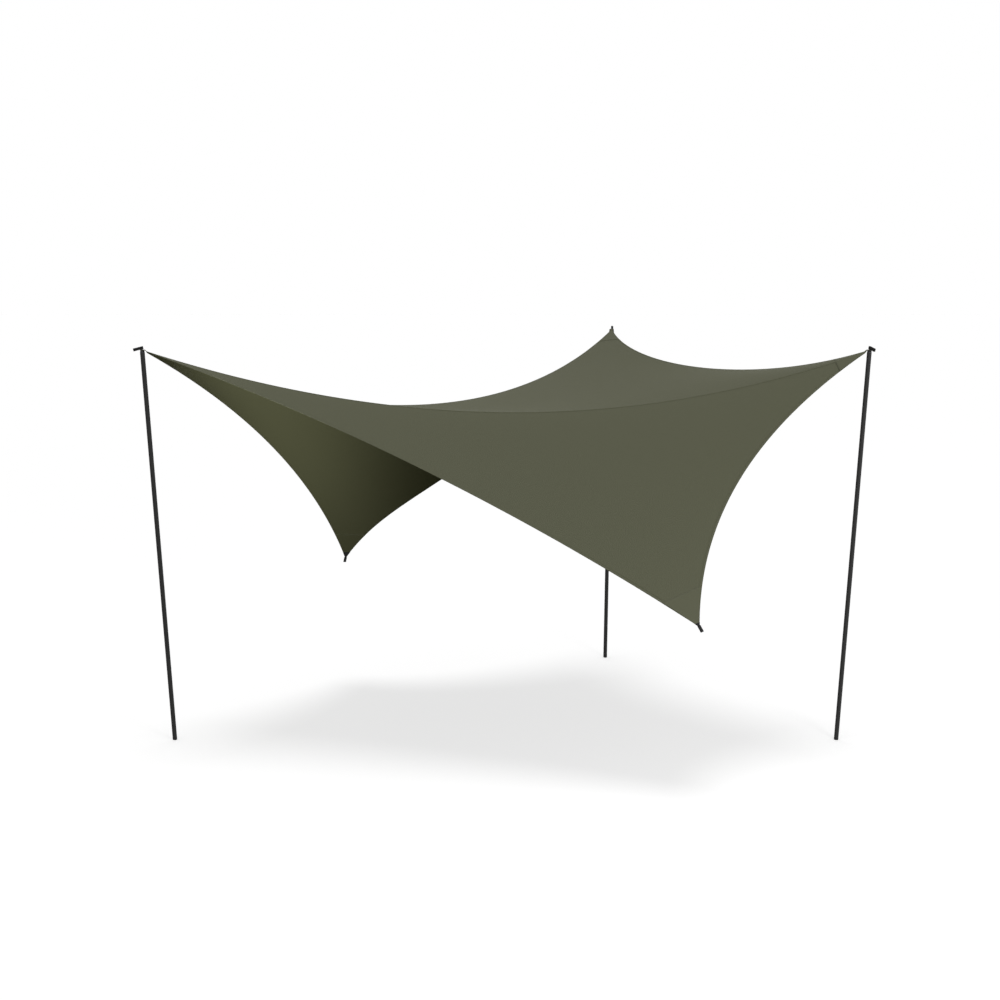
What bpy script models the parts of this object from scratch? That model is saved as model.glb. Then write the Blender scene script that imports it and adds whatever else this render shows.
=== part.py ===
"""Camping tarp pitched on three poles, with two corners hanging low.

Metres, +Z up, ground at Z = 0. The canopy is three sewn panels that share the left pole's
corner. Two folds divide them, five cut edges bow in between the five corners, and each
corner has a reinforcing patch and a webbing loop for a guy line.
"""
import math
from collections import namedtuple

import bmesh
import bpy
import numpy as np
from mathutils import Matrix, Vector

# Poles: three alike, each of three push-fit sections
POLE_LENGTH = 2.30
SECTIONS = ("lower", "middle", "upper")
TUBE_RADIUS = 0.013
TUBE_WALL_THICKNESS = 0.0012
FERRULE_WALL_THICKNESS = 0.0012
FERRULE_LENGTH = 0.14
FERRULE_SHOWING_LENGTH = 0.07
FOOT_HEIGHT = 0.014
FOOT_PLUG_DEPTH = 0.025
SHOULDER_HEIGHT = 0.012
SHOULDER_RIM_HEIGHT = 0.003
SHOULDER_TOP_RADIUS = 0.0075
SPIKE_RADIUS = 0.004
SPIKE_HEIGHT = 0.018
SPIKE_CHAMFER_WIDTH = 0.0016
SPIKE_PLUG_DEPTH = 0.03

# Plan of the pitch
FRONT_FOOT_X = 1.955
FRONT_LEAN_X = 0.08
BACK_FOOT_X = 0.708
BACK_FOOT_Y = 1.60
BACK_LEAN_X = 0.013
FRONT_CORNER_X = 1.009
FRONT_CORNER_Y = -0.804
FRONT_CORNER_HEIGHT = 0.926
REAR_CORNER_X = -1.05
REAR_CORNER_Y = 1.106
REAR_CORNER_HEIGHT = 0.835

# Edges are cut in and sag: depth at mid-span, and how far the depth leans to the start
FRONT_EDGE_BOW_DEPTH = 0.10
SIDE_EDGE_BOW_DEPTH = 0.275
SIDE_EDGE_SAG_DEPTH = 0.095
BACK_EDGE_BOW_DEPTH = 0.245
BACK_EDGE_SAG_DEPTH = 0.163
BACK_EDGE_BOW_SKEW = -0.57
BACK_EDGE_SAG_SKEW = 0.15
REAR_EDGE_BOW_DEPTH = 0.47
REAR_EDGE_SAG_DEPTH = 0.52
REAR_EDGE_BOW_SKEW = 0.14
REAR_EDGE_SAG_SKEW = 0.45
LEFT_EDGE_BOW_DEPTH = 0.187
LEFT_EDGE_SAG_DEPTH = 0.048
FRONT_FOLD_SAG_DEPTH = 0.351
FRONT_FOLD_SAG_SKEW = -0.048
BACK_FOLD_BOW_DEPTH = 0.43
BACK_FOLD_SAG_DEPTH = 0.359

# Cloth, hems and seams
CLOTH_THICKNESS = 0.0015
HEM_WIDTH = 0.012
HEM_THICKNESS = 0.0025
SEAM_RADIUS = 0.0025

# Corner patches; at a pole the patch ends in a flat tongue that is round about the eyelet
PATCH_LENGTH = 0.20
PATCH_THICKNESS = 0.0025
LOW_PATCH_TIP_DEPTH = 0.010
TONGUE_START_DEPTH = 0.03
TONGUE_RADIUS = 0.012
EYELET_BORE_RADIUS = 0.0055
EYELET_FLANGE_RADIUS = 0.0095
EYELET_SHEET_THICKNESS = 0.0008

# Webbing loops for guy lines
LOOP_THICKNESS = 0.002
LOOP_WIDTH = 0.016
POLE_LOOP_LENGTH = 0.057
POLE_LOOP_DROOP = math.radians(12)
LEFT_LOOP_HEADING = math.radians(188)
RIGHT_LOOP_HEADING = math.radians(-68)
BACK_LOOP_HEADING = math.radians(84)
LOW_LOOP_LENGTH = 0.040
LOW_LOOP_INNER_RADIUS = 0.003

# Fits between neighbouring pieces
GAP = 0.0003
CLOTH_GAP = 0.0013
SLIDE_GAP = 0.0003
SEAM_END_GAP = 0.0025
SPIKE_GAP = 0.001

# Fineness of the faceted shapes
SPANS = 22
RELAX_STEPS = 160
TUBE_SIDES = 24
SMALL_SIDES = 16
LOOP_END_STEPS = 8
PATCH_ROWS = 5
PATCH_COLUMNS = 6
FINE_SAMPLES = 800
SHARP_ANGLE = math.radians(30)

# Colours as base colour, roughness, metallic
CLOTH_TOP = ((0.105, 0.108, 0.075), 0.75, 0.0)
CLOTH_PATCH = ((0.090, 0.093, 0.064), 0.80, 0.0)
WEBBING = ((0.020, 0.020, 0.021), 0.85, 0.0)
POLE_PAINT = ((0.030, 0.031, 0.033), 0.40, 0.6)
BARE_STEEL = ((0.55, 0.55, 0.56), 0.30, 1.0)
DARK_STEEL = ((0.10, 0.10, 0.11), 0.35, 0.9)
RUBBER = ((0.015, 0.015, 0.016), 0.90, 0.0)

DOWN = np.array([0.0, 0.0, -1.0])
PoleSite = namedtuple("PoleSite", "foot tip heading")
Line = namedtuple("Line", "start end toward bow sag bow_skew sag_skew")


def pole_site(foot_x, foot_y, lean_x, heading):
    """A pole's foot on the ground and its tip, a pole's length away and leaning by lean_x."""
    foot = np.array([foot_x, foot_y, 0.0])
    rise = math.sqrt(POLE_LENGTH ** 2 - lean_x ** 2)
    return PoleSite(foot, foot + np.array([lean_x, 0.0, rise]), heading)


POLES = {
    "left": pole_site(-FRONT_FOOT_X, 0.0, -FRONT_LEAN_X, LEFT_LOOP_HEADING),
    "right": pole_site(FRONT_FOOT_X, 0.0, FRONT_LEAN_X, RIGHT_LOOP_HEADING),
    "back": pole_site(BACK_FOOT_X, BACK_FOOT_Y, BACK_LEAN_X, BACK_LOOP_HEADING),
}
CORNERS = {name: site.tip for name, site in POLES.items()}
CORNERS["front_low"] = np.array([FRONT_CORNER_X, FRONT_CORNER_Y, FRONT_CORNER_HEIGHT])
CORNERS["rear_low"] = np.array([REAR_CORNER_X, REAR_CORNER_Y, REAR_CORNER_HEIGHT])

LINES = {
    "front_edge": Line("left", "front_low", "right", FRONT_EDGE_BOW_DEPTH, 0.0, 0.0, 0.0),
    "side_edge": Line("front_low", "right", "left", SIDE_EDGE_BOW_DEPTH, SIDE_EDGE_SAG_DEPTH, 0.0, 0.0),
    "back_edge": Line("right", "back", "left", BACK_EDGE_BOW_DEPTH, BACK_EDGE_SAG_DEPTH,
                      BACK_EDGE_BOW_SKEW, BACK_EDGE_SAG_SKEW),
    "rear_edge": Line("back", "rear_low", "left", REAR_EDGE_BOW_DEPTH, REAR_EDGE_SAG_DEPTH,
                      REAR_EDGE_BOW_SKEW, REAR_EDGE_SAG_SKEW),
    "left_edge": Line("left", "rear_low", "back", LEFT_EDGE_BOW_DEPTH, LEFT_EDGE_SAG_DEPTH, 0.0, 0.0),
    "front_fold": Line("left", "right", "back", 0.0, FRONT_FOLD_SAG_DEPTH, 0.0, FRONT_FOLD_SAG_SKEW),
    "back_fold": Line("left", "back", "right", BACK_FOLD_BOW_DEPTH, BACK_FOLD_SAG_DEPTH, 0.0, 0.0),
}
# Each panel lies between two lines from the left corner and the line across their far ends
PANELS = {
    "front_wing": ("front_edge", "front_fold", "side_edge"),
    "centre_panel": ("front_fold", "back_fold", "back_edge"),
    "back_wing": ("back_fold", "left_edge", "rear_edge"),
}
# The lines that meet at each corner, in order across it
FANS = {
    "left": ("front_edge", "front_fold", "back_fold", "left_edge"),
    "right": ("side_edge", "front_fold", "back_edge"),
    "back": ("back_edge", "back_fold", "rear_edge"),
    "front_low": ("front_edge", "side_edge"),
    "rear_low": ("left_edge", "rear_edge"),
}


def unit(vector):
    return vector / np.linalg.norm(vector)


def line_points(name, samples):
    """Points along an edge or fold, evenly spaced in its own parameter."""
    line = LINES[name]
    start = CORNERS[line.start]
    chord = CORNERS[line.end] - start
    inward = CORNERS[line.toward] - start
    inward = unit(inward - unit(chord) * np.dot(inward, unit(chord)))
    t = np.linspace(0.0, 1.0, samples + 1)[:, None]
    arch = 4 * t * (1 - t)
    bow = line.bow * (1 + line.bow_skew * (1 - 2 * t))
    sag = line.sag * (1 + line.sag_skew * (1 - 2 * t))
    return start + chord * t + arch * (bow * inward + sag * DOWN)


def leading_away(name, corner):
    """A line's points, ordered so that they lead away from the corner."""
    points = line_points(name, FINE_SAMPLES)
    return points if LINES[name].start == corner else points[::-1]


def corner_axis(corner):
    """Unit vector from the cloth out through the corner's tip."""
    towards = [unit(leading_away(name, corner)[FINE_SAMPLES // 10] - CORNERS[corner])
               for name in FANS[corner]]
    return -unit(sum(towards))


CORNER_AXES = {corner: corner_axis(corner) for corner in CORNERS}


def past_depth(points, corner, depth):
    """A line that leads away from a corner, from where it passes a depth inside the tip."""
    depths = (CORNERS[corner] - points) @ CORNER_AXES[corner]
    first = int(np.argmax(depths > depth))
    share = (depth - depths[first - 1]) / (depths[first] - depths[first - 1])
    cut = points[first - 1] + (points[first] - points[first - 1]) * share
    return np.vstack([[cut], points[first:]])


def cloth_net(lines):
    """Rows of points over a whole panel, from the left corner to the line at its far side.

    The cloth is relaxed under even tension, as a taut sheet is between its edges.
    """
    first, second, far = (line_points(name, SPANS) for name in lines)
    u = np.linspace(0.0, 1.0, SPANS + 1)[:, None, None]
    v = np.linspace(0.0, 1.0, SPANS + 1)[None, :, None]
    net = (1 - v) * first[:, None] + v * second[:, None]
    net = net + u * (far[None] - (1 - v) * far[0] - v * far[-1])
    reach = ((net[2:, 1:-1] - net[:-2, 1:-1]) ** 2).sum(axis=2)[..., None]
    breadth = ((net[1:-1, 2:] - net[1:-1, :-2]) ** 2).sum(axis=2)[..., None]
    for _ in range(RELAX_STEPS):
        lengthwise = (net[2:, 1:-1] + net[:-2, 1:-1]) * breadth
        crosswise = (net[1:-1, 2:] + net[1:-1, :-2]) * reach
        net[1:-1, 1:-1] = (lengthwise + crosswise) / (2 * (reach + breadth))
    return net


NETS = {panel: cloth_net(lines) for panel, lines in PANELS.items()}


def shares_inside(net, width):
    """For each row, the share of it that takes a point this far inside the first column."""
    step = (net[:, 1] - net[:, 0]) * (net.shape[1] - 1)
    along = np.gradient(net[:, 0], axis=0)
    along /= np.maximum(np.linalg.norm(along, axis=1), 1e-9)[:, None]
    square = np.linalg.norm(step - along * (step * along).sum(axis=1)[:, None], axis=1)
    return np.minimum(width / np.maximum(square, 1e-9), 0.45)


def along_rows(net, shares):
    """Points at the given shares of each row; shares has a row of values for each row."""
    places = shares * (net.shape[1] - 1)
    before = np.clip(np.floor(places).astype(int), 0, net.shape[1] - 2)
    rest = (places - before)[..., None]
    row = np.arange(net.shape[0])[:, None]
    return net[row, before] * (1 - rest) + net[row, before + 1] * rest


def draw_in(net, first, second, far):
    """Shrink a net on its own surface by a width at each of its three lines."""
    low = shares_inside(net, first)[:, None]
    high = 1 - shares_inside(net[:, ::-1], second)[:, None]
    net = along_rows(net, low + (high - low) * np.linspace(0.0, 1.0, net.shape[1]))
    columns = net.transpose(1, 0, 2)
    reach = 1 - shares_inside(columns[:, ::-1], far)[:, None]
    columns = along_rows(columns, reach * np.linspace(0.0, 1.0, columns.shape[1]))
    return columns.transpose(1, 0, 2)


def room_at(line):
    """The width that a hem, or half a seam, takes of the cloth at a line."""
    return (SEAM_RADIUS if "fold" in line else HEM_WIDTH) + CLOTH_GAP


def hem_net(line):
    """The two long sides of a hem: the cut edge, and a line in the cloth inside it."""
    panel = next(name for name, lines in PANELS.items() if line in lines)
    side = PANELS[panel].index(line)
    sides = []
    for width in (0.0, HEM_WIDTH):
        net = draw_in(NETS[panel], *(width if k == side else 0.0 for k in range(3)))
        sides.append((net[:, 0], net[:, -1], net[-1])[side])
    return np.array(sides)


def clear_scene():
    for item in list(bpy.data.objects):
        bpy.data.objects.remove(item, do_unlink=True)


def new_collection(name):
    collection = bpy.data.collections.new(name)
    bpy.context.scene.collection.children.link(collection)
    return collection


def material(name, finish):
    colour, roughness, metallic = finish
    shade = bpy.data.materials.new(name)
    shade.use_nodes = True
    shader = shade.node_tree.nodes["Principled BSDF"]
    shader.inputs["Base Color"].default_value = (*colour, 1.0)
    shader.inputs["Roughness"].default_value = roughness
    shader.inputs["Metallic"].default_value = metallic
    return shade


def add_object(name, data, finish, parent, collection):
    part = bpy.data.objects.new(name, data)
    collection.objects.link(part)
    part.parent = parent
    if finish is not None:
        data.materials.append(material(name, finish))
    return part


def add_empty(name, parent, matrix):
    empty = bpy.data.objects.new(name, None)
    PARTS.objects.link(empty)
    empty.parent = parent
    empty.matrix_basis = matrix
    return empty


def frame_at(origin, up, ahead):
    """Matrix with Z along up and X as near to ahead as it can be."""
    z = Vector(up).normalized()
    x = Vector(ahead)
    x = (x - z * x.dot(z)).normalized()
    turn = Matrix((x, z.cross(x), z)).transposed().to_4x4()
    return Matrix.Translation(Vector(origin)) @ turn


def take_mesh(bm, name):
    mesh = bpy.data.meshes.new(name)
    bm.to_mesh(mesh)
    bm.free()
    return mesh


def cut_off(bm, point, outward):
    """Remove what lies outside a plane and return the new rim's edges."""
    cut = bmesh.ops.bisect_plane(bm, geom=bm.verts[:] + bm.edges[:] + bm.faces[:], dist=1e-6,
                                 plane_co=point, plane_no=outward, clear_outer=True)
    return [edge for edge in cut["geom_cut"] if isinstance(edge, bmesh.types.BMEdge)]


def build_sheet(name, net, corners, thickness, finish):
    """Cloth through a grid of points, cut off where the patches at its corners begin."""
    rows, columns = net.shape[:2]
    bm = bmesh.new()
    bmesh.ops.create_grid(bm, x_segments=rows - 1, y_segments=columns - 1, size=0.5)
    for vertex in bm.verts:
        i = round((vertex.co.x + 0.5) * (rows - 1))
        j = round((vertex.co.y + 0.5) * (columns - 1))
        vertex.co = net[i, j]
    for corner in corners:
        axis = CORNER_AXES[corner]
        cut_off(bm, CORNERS[corner] - axis * (PATCH_LENGTH + GAP), axis)
    bmesh.ops.remove_doubles(bm, verts=bm.verts, dist=1e-5)
    mesh = take_mesh(bm, name)
    mesh.shade_smooth()
    part = add_object(name, mesh, finish, SITE, PARTS)
    shell = part.modifiers.new("thickness", "SOLIDIFY")
    shell.thickness = thickness
    shell.offset = 0.0
    shell.use_even_offset = True
    return part


def build_panel(name, lines):
    net = draw_in(NETS[name], *(room_at(line) for line in lines))
    corners = [corner for corner, fan in FANS.items() if len(set(fan) & set(lines)) > 1]
    build_sheet(name, net, corners, CLOTH_THICKNESS, CLOTH_TOP)


def build_hem(line):
    ends = (LINES[line].start, LINES[line].end)
    build_sheet(line + "_hem", hem_net(line), ends, HEM_THICKNESS, CLOTH_PATCH)


def build_seam(line):
    """A rolled seam along a fold, between the patches at its two ends."""
    name = line + "_seam"
    inner = PATCH_LENGTH + SEAM_END_GAP
    points = past_depth(line_points(line, SPANS), LINES[line].start, inner)
    points = past_depth(points[::-1], LINES[line].end, inner)
    curve = bpy.data.curves.new(name, "CURVE")
    curve.dimensions = "3D"
    curve.bevel_depth = SEAM_RADIUS
    curve.bevel_resolution = 1
    curve.use_fill_caps = True
    spline = curve.splines.new("POLY")
    spline.points.add(len(points) - 1)
    for knot, point in zip(spline.points, points):
        knot.co = (*point, 1.0)
    add_object(name, curve, CLOTH_PATCH, SITE, PARTS)


def across_fan(corner, depth, columns):
    """Points across the cloth at a depth inside the corner, columns of them between two lines."""
    marks = [past_depth(leading_away(name, corner), corner, depth)[0] for name in FANS[corner]]
    points = []
    for here, there in zip(marks, marks[1:]):
        points += [here + (there - here) * k / columns for k in range(columns)]
    return points + [marks[-1]]


def build_patch(corner, tip):
    """The doubled cloth at a corner, down to a depth of tip, with a tongue for any eyelet."""
    name = "corner_patch_" + corner
    depths = np.linspace(PATCH_LENGTH, tip, PATCH_ROWS)
    columns = PATCH_COLUMNS // (len(FANS[corner]) - 1)
    rows = [across_fan(corner, depth, columns) for depth in depths]
    if corner in POLES:
        rows += tongue_rows(corner, Vector(rows[0][-1] - rows[0][0]), len(rows[0]))
    part = build_sheet(name, np.array(rows), (), PATCH_THICKNESS, CLOTH_PATCH)
    if corner in POLES:
        cut = part.modifiers.new("eyelet_hole", "BOOLEAN")
        cut.object = hole_cutter(name, corner)
        cut.solver = "EXACT"


def tongue_rows(corner, across, count):
    """Rows across a flat tongue, square to the pole, with its end round about the pole."""
    frame = pole_frame(corner)
    side = 1 if frame.col[1].to_3d().dot(across) > 0 else -1
    outline = [(-TONGUE_RADIUS, TONGUE_RADIUS)]
    for degrees in (0, 45, 75):
        angle = math.radians(degrees)
        outline.append((TONGUE_RADIUS * math.sin(angle), TONGUE_RADIUS * math.cos(angle)))
    shares = np.linspace(-side, side, count)
    return [[np.array(frame @ Vector((x, half * share, 0.0))) for share in shares]
            for x, half in outline]


def hole_cutter(name, corner):
    bm = bmesh.new()
    radius = EYELET_BORE_RADIUS + EYELET_SHEET_THICKNESS + GAP
    bmesh.ops.create_cone(bm, cap_ends=True, segments=SMALL_SIDES, radius1=radius,
                          radius2=radius, depth=8 * PATCH_THICKNESS)
    cutter = add_object("cut_" + name, take_mesh(bm, name), None, SITE, CUTTERS)
    cutter.matrix_basis = pole_frame(corner)
    cutter.hide_render = True
    cutter.display_type = "WIRE"
    return cutter


def pole_frame(corner):
    """Frame at a pole's tip: Z up the pole, X out from the cloth."""
    site = POLES[corner]
    return frame_at(site.tip, site.tip - site.foot, CORNER_AXES[corner])


def turned(name, profile, sides, finish, parent, closed=False):
    """A shape turned round Z. The profile runs down the outer side and back up the bore."""
    bm = bmesh.new()
    knots = [bm.verts.new((radius, 0.0, height)) for radius, height in profile]
    pairs = list(zip(knots, knots[1:]))
    if closed:
        pairs.append((knots[-1], knots[0]))
    for here, there in pairs:
        bm.edges.new((here, there))
    part = add_object(name, take_mesh(bm, name), finish, parent, PARTS)
    screw = part.modifiers.new("turn", "SCREW")
    screw.steps = sides
    screw.render_steps = sides
    screw.use_merge_vertices = True
    screw.merge_threshold = 0.00005
    bpy.context.view_layer.update()
    part.data = bpy.data.meshes.new_from_object(
        part.evaluated_get(bpy.context.evaluated_depsgraph_get()))
    part.modifiers.clear()
    shade_round(part.data)
    return part


def shade_round(mesh):
    """Smooth shading that stops at the sharp rims."""
    mesh.shade_smooth()
    mesh.set_sharp_from_angle(angle=SHARP_ANGLE)


def tube_profile(outer, wall, bottom, top):
    return [(outer, top), (outer, bottom), (outer - wall, bottom), (outer - wall, top)]


def spike_profile(plug, under):
    """A plug that fills the tube, a shoulder that carries the eyelet, and the spike above it."""
    tip = POLE_LENGTH + SPIKE_HEIGHT
    chamfer = SPIKE_CHAMFER_WIDTH
    shoulder = under - SHOULDER_HEIGHT
    plug_end = shoulder - SPIKE_PLUG_DEPTH
    return [(0.0, tip), (SPIKE_RADIUS - chamfer, tip), (SPIKE_RADIUS, tip - chamfer),
            (SPIKE_RADIUS, under), (SHOULDER_TOP_RADIUS, under),
            (TUBE_RADIUS, shoulder + SHOULDER_RIM_HEIGHT), (TUBE_RADIUS, shoulder),
            (plug, shoulder), (plug, plug_end), (0.0, plug_end)]


def build_pole(corner):
    """Spike, three tubes, two ferrules and a foot, stacked along the pole's axis."""
    site = POLES[corner]
    base = add_empty("pole_" + corner, SITE,
                     frame_at(site.foot, site.tip - site.foot, (1.0, 0.0, 0.0)))
    eyelet_under = POLE_LENGTH - PATCH_THICKNESS / 2 - EYELET_SHEET_THICKNESS - 2 * GAP
    tube_bottom = FOOT_HEIGHT + GAP
    tubes = eyelet_under - SHOULDER_HEIGHT - tube_bottom
    step = tubes / len(SECTIONS)
    plug = TUBE_RADIUS - TUBE_WALL_THICKNESS - SLIDE_GAP
    turned("spike_" + corner, spike_profile(plug, eyelet_under), TUBE_SIDES, DARK_STEEL, base)
    for index, section in enumerate(SECTIONS):
        bottom = tube_bottom + index * step
        turned(section + "_tube_" + corner,
               tube_profile(TUBE_RADIUS, TUBE_WALL_THICKNESS, bottom, bottom + step - GAP),
               TUBE_SIDES, POLE_PAINT, base, closed=True)
    for index, joint in enumerate(("lower", "upper")):
        top = tube_bottom + (index + 1) * step + FERRULE_SHOWING_LENGTH
        turned(joint + "_ferrule_" + corner,
               tube_profile(plug, FERRULE_WALL_THICKNESS, top - FERRULE_LENGTH, top),
               TUBE_SIDES, BARE_STEEL, base, closed=True)
    build_foot(corner, base, plug)


def build_foot(corner, base, plug):
    """A rubber plug whose underside is flat on the ground, whatever the pole's lean."""
    name = "foot_" + corner
    blank = turned(name + "_blank",
                   [(0.0, FOOT_HEIGHT + FOOT_PLUG_DEPTH), (plug, FOOT_HEIGHT + FOOT_PLUG_DEPTH),
                    (plug, FOOT_HEIGHT), (TUBE_RADIUS, FOOT_HEIGHT), (TUBE_RADIUS, -TUBE_RADIUS),
                    (0.0, -TUBE_RADIUS)],
                   TUBE_SIDES, RUBBER, base)
    bm = bmesh.new()
    bm.from_mesh(blank.data)
    bpy.data.objects.remove(blank, do_unlink=True)
    bmesh.ops.remove_doubles(bm, verts=bm.verts, dist=1e-6)
    ground = base.matrix_basis.to_3x3().inverted() @ Vector(DOWN)
    bmesh.ops.edgeloop_fill(bm, edges=cut_off(bm, (0.0, 0.0, 0.0), ground))
    bmesh.ops.recalc_face_normals(bm, faces=bm.faces)
    mesh = take_mesh(bm, name)
    shade_round(mesh)
    add_object(name, mesh, RUBBER, base, PARTS)


def build_eyelet(corner):
    """A rolled ring through the tongue, with a flange above and below it."""
    inner = PATCH_THICKNESS / 2 + GAP
    outer = inner + EYELET_SHEET_THICKNESS
    flange = EYELET_FLANGE_RADIUS
    bore = EYELET_BORE_RADIUS
    barrel = bore + EYELET_SHEET_THICKNESS
    profile = [(flange, outer), (flange, inner), (barrel, inner), (barrel, -inner),
               (flange, -inner), (flange, -outer), (bore, -outer), (bore, outer)]
    part = turned("eyelet_" + corner, profile, SMALL_SIDES, BARE_STEEL, SITE, closed=True)
    part.matrix_basis = pole_frame(corner)


def build_loop(corner, length, inner_radius, matrix):
    """A webbing loop. Its round inner end is centred on the frame's origin, X points outward."""
    name = "guy_loop_" + corner
    curve = bpy.data.curves.new(name, "CURVE")
    curve.dimensions = "2D"
    curve.fill_mode = "BOTH"
    curve.extrude = LOOP_WIDTH / 2
    reach = length - 2 * (inner_radius + LOOP_THICKNESS)
    for radius in (inner_radius + LOOP_THICKNESS, inner_radius):
        spline = curve.splines.new("POLY")
        spline.points.add(2 * LOOP_END_STEPS + 1)
        spline.use_cyclic_u = True
        for k, knot in enumerate(spline.points):
            far = k > LOOP_END_STEPS
            angle = math.pi / 2 + math.pi * (k - far) / LOOP_END_STEPS
            knot.co = (reach * far + radius * math.cos(angle), radius * math.sin(angle), 0.0, 1.0)
    part = add_object(name, curve, WEBBING, SITE, PARTS)
    part.matrix_basis = matrix


def pole_loop_frame(corner):
    """Round the spike, above the eyelet, drooping as it leaves the pole."""
    site = POLES[corner]
    ahead = Vector((math.cos(site.heading), math.sin(site.heading), 0.0))
    level = frame_at(site.tip, site.tip - site.foot, ahead)
    eyelet_top = PATCH_THICKNESS / 2 + GAP + EYELET_SHEET_THICKNESS
    rise = eyelet_top + EYELET_FLANGE_RADIUS * math.tan(POLE_LOOP_DROOP) + GAP
    lift = Matrix.Translation((0.0, 0.0, rise + LOOP_WIDTH / 2))
    return level @ lift @ Matrix.Rotation(POLE_LOOP_DROOP, 4, "Y")


def low_loop_frame(corner):
    """At a hanging corner's tip, flat in the plane of the cloth there."""
    axis = CORNER_AXES[corner]
    fan = across_fan(corner, PATCH_LENGTH, 1)
    width = unit(np.cross(np.cross(axis, fan[-1] - fan[0]), axis))
    inset = LOW_PATCH_TIP_DEPTH - LOW_LOOP_INNER_RADIUS - LOOP_THICKNESS - GAP
    return frame_at(CORNERS[corner] - axis * inset, width, axis)


def build_canopy():
    for name, lines in PANELS.items():
        build_panel(name, lines)
    for line in LINES:
        if "fold" in line:
            build_seam(line)
        else:
            build_hem(line)
    for corner in CORNERS:
        if corner in POLES:
            build_patch(corner, TONGUE_START_DEPTH)
            build_eyelet(corner)
            build_loop(corner, POLE_LOOP_LENGTH, SPIKE_RADIUS + SPIKE_GAP, pole_loop_frame(corner))
        else:
            build_patch(corner, LOW_PATCH_TIP_DEPTH)
            build_loop(corner, LOW_LOOP_LENGTH, LOW_LOOP_INNER_RADIUS, low_loop_frame(corner))


def centre_on_plan():
    """Move the whole so that the middle of the ground it covers is the origin."""
    bpy.context.view_layer.update()
    depsgraph = bpy.context.evaluated_depsgraph_get()
    pieces = [item.evaluated_get(depsgraph) for item in PARTS.objects if item.type != "EMPTY"]
    points = [tuple(piece.matrix_world @ vertex.co)
              for piece in pieces for vertex in piece.to_mesh().vertices]
    middle = (np.min(points, axis=0) + np.max(points, axis=0)) / 2
    SITE.location = (-middle[0], -middle[1], 0.0)


clear_scene()
PARTS = new_collection("camping_tarp")
CUTTERS = new_collection("cutters")
SITE = add_empty("site", None, Matrix())
build_canopy()
for pole in POLES:
    build_pole(pole)
centre_on_plan()
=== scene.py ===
"""Camping tarp on three poles: the finished cloth, webbing, poles and light.

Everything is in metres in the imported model's own frame. The cloth follows the same edge and
fold lines as the solids, sampled finely, and every piece rides on the body it belongs to.
"""
import math
from collections import namedtuple

import bmesh
import bpy
import numpy as np
from mathutils import Matrix, Vector
from mathutils.bvhtree import BVHTree


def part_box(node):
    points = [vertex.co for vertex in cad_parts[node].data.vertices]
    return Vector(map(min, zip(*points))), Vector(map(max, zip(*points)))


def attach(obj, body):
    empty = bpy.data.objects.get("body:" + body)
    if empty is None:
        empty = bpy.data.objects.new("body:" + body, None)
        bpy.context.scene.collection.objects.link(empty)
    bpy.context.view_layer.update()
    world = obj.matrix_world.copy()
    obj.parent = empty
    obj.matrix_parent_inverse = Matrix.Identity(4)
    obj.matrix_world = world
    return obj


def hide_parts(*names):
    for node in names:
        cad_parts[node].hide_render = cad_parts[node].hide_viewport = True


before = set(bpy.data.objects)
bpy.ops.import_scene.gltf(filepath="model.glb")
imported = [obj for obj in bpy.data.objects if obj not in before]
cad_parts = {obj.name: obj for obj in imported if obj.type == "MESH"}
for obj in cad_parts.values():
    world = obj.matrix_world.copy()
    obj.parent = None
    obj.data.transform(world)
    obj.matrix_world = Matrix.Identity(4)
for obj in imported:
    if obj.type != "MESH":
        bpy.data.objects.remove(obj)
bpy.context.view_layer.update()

# Poles, as in the solids but for the shoulder, which is fuller at its top
POLE_LENGTH = 2.30
TUBE_RADIUS = 0.013
TUBE_WALL = 0.0012
TUBE_CHAMFER = 0.00025
FERRULE_SHOWING = 0.07
FERRULE_LENGTH = 0.14
FERRULE_CHAMFER = 0.0007
FOOT_HEIGHT = 0.014
FOOT_PLUG_DEPTH = 0.025
RIB_COUNT = 4
RIB_PITCH = 0.003
RIB_ROUND = 0.0006
SHOULDER_HEIGHT = 0.012
SHOULDER_TOP_RADIUS = 0.0115
SHOULDER_TOP_ROUND = 0.0005
SHOULDER_RIM_HEIGHT = 0.0028
SHOULDER_RIM_SLOPE = 0.0007
SHOULDER_RIM_BREAK = 0.0004
SPIKE_RADIUS = 0.004
SPIKE_HEIGHT = 0.018
SPIKE_FILLET = 0.0006
SPIKE_DOME = 0.6
SPIKE_PLUG_DEPTH = 0.03
SECTIONS = ("lower", "middle", "upper")
GAP = 0.0003

# Plan of the pitch: feet, pole lean and the two low corners
FRONT_FOOT_X = 1.955
FRONT_LEAN_X = 0.08
BACK_FOOT = (0.708, 1.60)
BACK_LEAN_X = 0.013
FRONT_LOW_CORNER = (1.009, -0.804, 0.926)
REAR_LOW_CORNER = (-1.05, 1.106, 0.835)

# Cloth and trim
CLOTH_THICKNESS = 0.0009
HEM_WIDTH = 0.012
HEM_THICKNESS = 0.0024
SEAM_HALF_WIDTH = 0.006
SEAM_THICKNESS = 0.003
SEAM_CREST_SHARE = 0.4
PATCH_LENGTH = 0.20
PATCH_THICKNESS = 0.0025
CLOTH_INTO_PATCH = 0.05
TRIM_INTO_PATCH = 0.004
TRIM_ROUNDING = 0.35
LOW_PATCH_TIP = 0.010
TONGUE_START = 0.03
TONGUE_RADIUS = 0.012
TONGUE_ANGLES = (0, 20, 40, 55, 68, 80)
LEAVING_LENGTH = 0.05
BRIDGE_PULL = 0.7
EYELET_BORE = 0.0055
EYELET_FLANGE = 0.0095
EYELET_SHEET = 0.0008
EYELET_FULLNESS = 0.6
LOOP_THICKNESS = 0.002
LOOP_WIDTH = 0.016
LOOP_ROUNDING = 0.0006
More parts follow.
